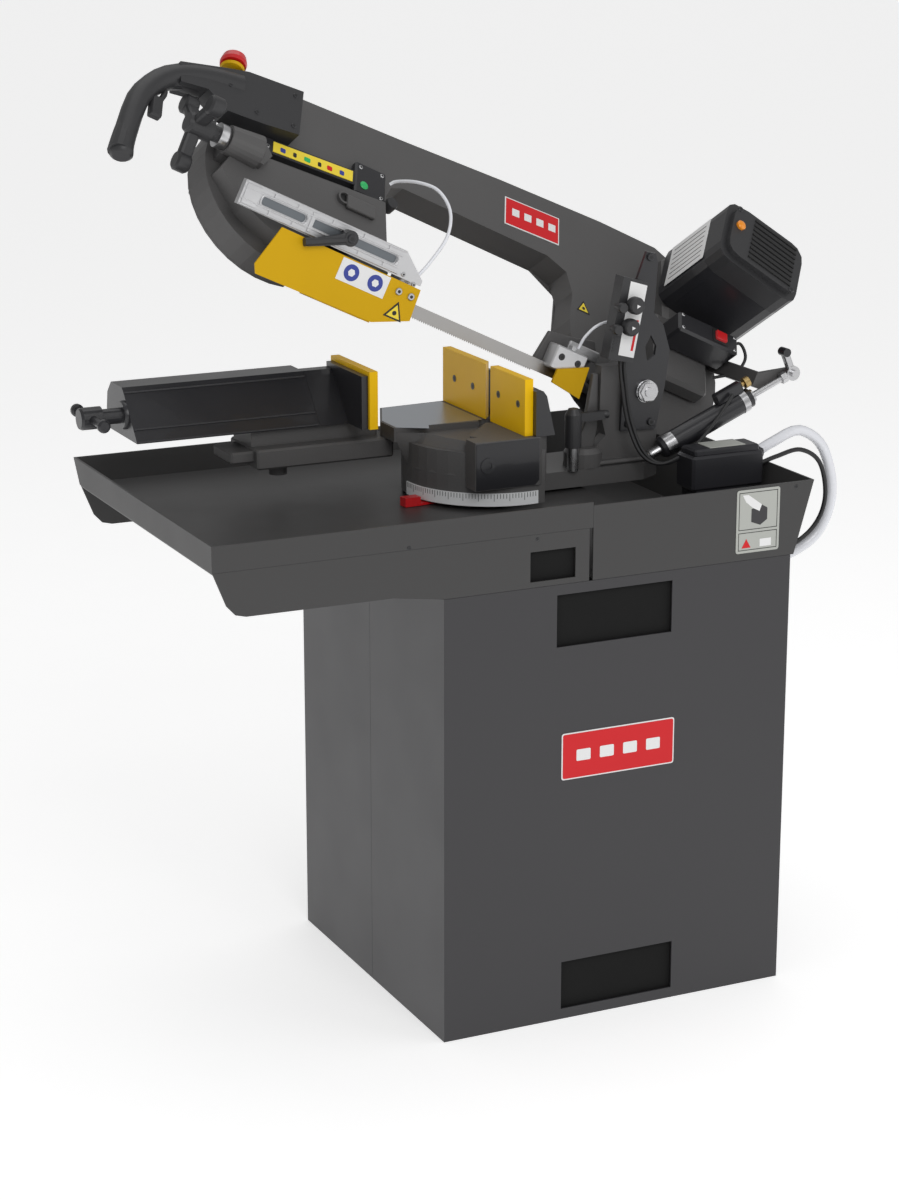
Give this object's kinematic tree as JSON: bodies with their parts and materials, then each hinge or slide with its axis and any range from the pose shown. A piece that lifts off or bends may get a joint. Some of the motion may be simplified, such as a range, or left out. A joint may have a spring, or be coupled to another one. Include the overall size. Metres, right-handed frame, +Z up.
{
  "type": "mitre band saw",
  "caption": "Pull-down mitre metal band saw on a cabinet stand, with swivelling head, screw vise, blade guides, feed damper and coolant pump.",
  "frame": {"origin": "on the floor under the middle of the cabinet", "axes": "+X to the hinge and motor end, -Y to the operator, +Z up"},
  "size_m": [1.1992, 0.61, 1.458],
  "materials": {
    "casting": "charcoal textured paint on castings",
    "sheet": "dark grey satin powder coat",
    "tray": "dark grey powder coat",
    "black": "black paint",
    "plastic": "black moulded plastic",
    "yellow": "golden yellow paint",
    "steel": "bright machined steel",
    "alu": "cast aluminium",
    "brass": "turned brass",
    "red": "red plastic",
    "white": "white printed scale",
    "hose": "translucent hose"
  },
  "bodies": {
    "stand": {"cabinet_front_shell": "sheet", "cabinet_rear_shell": "sheet", "cabinet_base": "sheet", "tray_base": "tray", "chip_tray": "tray", "sump_pan": "tray", "saw_bed": "casting", "mitre_pin": "steel", "degree_scale": "white", "vise_bed": "casting", "fixed_jaw_near": "black", "fixed_jaw_far": "black", "jaw_plate_near": "yellow", "jaw_plate_far": "yellow", "coolant_pump": "plastic", "pump_hose": "hose"},
    "vise": {"vise_slide": "black", "moving_jaw": "black", "moving_jaw_plate": "yellow"},
    "vise_crank": {"vise_screw": "black"},
    "crank_handle": {"crank_bar": "black"},
    "mitre_arm": {"swing_arm": "casting", "column": "casting", "bracket_plate": "black", "hinge_pin": "steel", "angle_pointer": "red", "lock_post": "steel", "flow_control_box": "plastic"},
    "mitre_lock": {"lock_lever": "plastic"},
    "flow_dial": {"flow_knob": "plastic"},
    "return_dial": {"return_knob": "plastic"},
    "damper_cylinder": {"damper_barrel": "black"},
    "damper_piston": {"damper_rod": "steel"},
    "damper_valve": {"valve_knob": "brass"},
    "head": {"bow_frame": "casting", "blade_cover": "tray", "saw_blade": "steel", "handle": "plastic", "stop_collar": "yellow", "control_strip": "black", "gearbox": "casting", "motor_body": "black", "motor_cap": "plastic", "switch_box": "black", "rear_guide": "alu", "rear_guard": "yellow"},
    "tension_slide": {"front_axle": "steel"},
    "idler": {"front_wheel": "casting"},
    "drive": {"rear_wheel": "casting", "drive_shaft": "steel"},
    "tension_screw": {"tension_knob": "plastic"},
    "trigger_switch": {"trigger": "plastic"},
    "emergency_stop": {"stop_button": "red"},
    "rocker_switch": {"power_rocker": "red"},
    "guide_slide": {"guide_arm": "alu", "front_guard": "yellow"},
    "guide_clamp": {"clamp_lever": "plastic"}
  },
  "joints": [
    {"name": "vise_slide_joint", "type": "slide", "parent": "stand", "child": "vise", "axis": [1, 0, 0], "range_m": [0, 0.175]},
    {"name": "vise_screw_joint", "type": "hinge", "parent": "vise", "child": "vise_crank", "pos_m": [-0.69, 0.12, 0.93], "axis": [1, 0, 0], "range_deg": [0, 10500]},
    {"name": "crank_bar_slide", "type": "slide", "parent": "vise_crank", "child": "crank_handle", "axis": [0, 1, 0], "range_m": [-0.03, 0.03]},
    {"name": "mitre_swivel", "type": "hinge", "parent": "stand", "child": "mitre_arm", "pos_m": [-0.0923, 0, 0.8], "axis": [0, 0, 1], "range_deg": [0, 45]},
    {"name": "mitre_lock_joint", "type": "hinge", "parent": "mitre_arm", "child": "mitre_lock", "pos_m": [0.024, -0.062, 0.88], "axis": [0, 0, 1], "range_deg": [-20, 60]},
    {"name": "flow_knob_joint", "type": "hinge", "parent": "mitre_arm", "child": "flow_dial", "pos_m": [0.114, -0.09, 1.072], "axis": [0, 1, 0], "range_deg": [0, 270]},
    {"name": "return_knob_joint", "type": "hinge", "parent": "mitre_arm", "child": "return_dial", "pos_m": [0.106, -0.09, 1.039], "axis": [0, 1, 0], "range_deg": [0, 270]},
    {"name": "head_swing", "type": "hinge", "parent": "mitre_arm", "child": "head", "pos_m": [0.157, 0, 0.928], "axis": [0, 1, 0], "range_deg": [-24, 2]},
    {"name": "damper_pivot", "type": "hinge", "parent": "mitre_arm", "child": "damper_cylinder", "pos_m": [0.16, -0.07, 0.831], "axis": [0, 1, 0], "range_deg": [-25, 5]},
    {"name": "damper_stroke", "type": "slide", "parent": "damper_cylinder", "child": "damper_piston", "axis": [0.9205, 0, 0.3907], "range_m": [-0.01, 0.045]},
    {"name": "valve_knob_joint", "type": "hinge", "parent": "damper_cylinder", "child": "damper_valve", "pos_m": [0.31737, -0.07, 0.92605], "axis": [0.9205, 0, 0.3907], "range_deg": [0, 270]},
    {"name": "blade_tension_slide", "type": "slide", "parent": "head", "child": "tension_slide", "axis": [0.9011, 0, -0.4337], "range_m": [0, 0.004]},
    {"name": "idler_spin", "type": "hinge", "parent": "tension_slide", "child": "idler", "pos_m": [-0.40043, 0.09142, 1.24557], "axis": [-0.2788, 0.766, -0.5792], "continuous": true},
    {"name": "drive_spin", "type": "hinge", "parent": "head", "child": "drive", "pos_m": [0.21681, 0.09142, 0.94851], "axis": [-0.2788, 0.766, -0.5792], "continuous": true},
    {"name": "tension_knob_joint", "type": "hinge", "parent": "head", "child": "tension_screw", "pos_m": [-0.52478, 0.05406, 1.35614], "axis": [0.9011, 0, -0.4337], "range_deg": [0, 960]},
    {"name": "trigger_press", "type": "slide", "parent": "head", "child": "trigger_switch", "axis": [-0.9011, 0, 0.4337], "range_m": [0, 0.003], "stiffness_N_per_m": 800},
    {"name": "stop_press", "type": "slide", "parent": "head", "child": "emergency_stop", "axis": [-0.4246, -0.6393, -0.6412], "range_m": [0, 0.002], "stiffness_N_per_m": 1500},
    {"name": "rocker_tilt", "type": "hinge", "parent": "head", "child": "rocker_switch", "pos_m": [0.32921, 0.01711, 0.98606], "axis": [0.3322, 0.6428, 0.6903], "range_deg": [-5, 5]},
    {"name": "guide_slide_joint", "type": "slide", "parent": "head", "child": "guide_slide", "axis": [0.9011, 0, -0.4337], "range_m": [0, 0.06]},
    {"name": "clamp_lever_joint", "type": "hinge", "parent": "guide_slide", "child": "guide_clamp", "pos_m": [-0.34447, -0.046, 1.20042], "axis": [0, 1, 0], "range_deg": [-35, 35]}
  ],
  "couplings": [
    {"joint": "vise_screw_joint", "follows": "vise_slide_joint", "rad_per_m": 1047.2},
    {"joint": "damper_pivot", "follows": "head_swing", "ratio": 0.825},
    {"joint": "damper_stroke", "follows": "head_swing", "m_per_rad": -0.082},
    {"joint": "idler_spin", "follows": "drive_spin", "ratio": 1},
    {"joint": "tension_knob_joint", "follows": "blade_tension_slide", "rad_per_m": 4188.8}
  ]
}
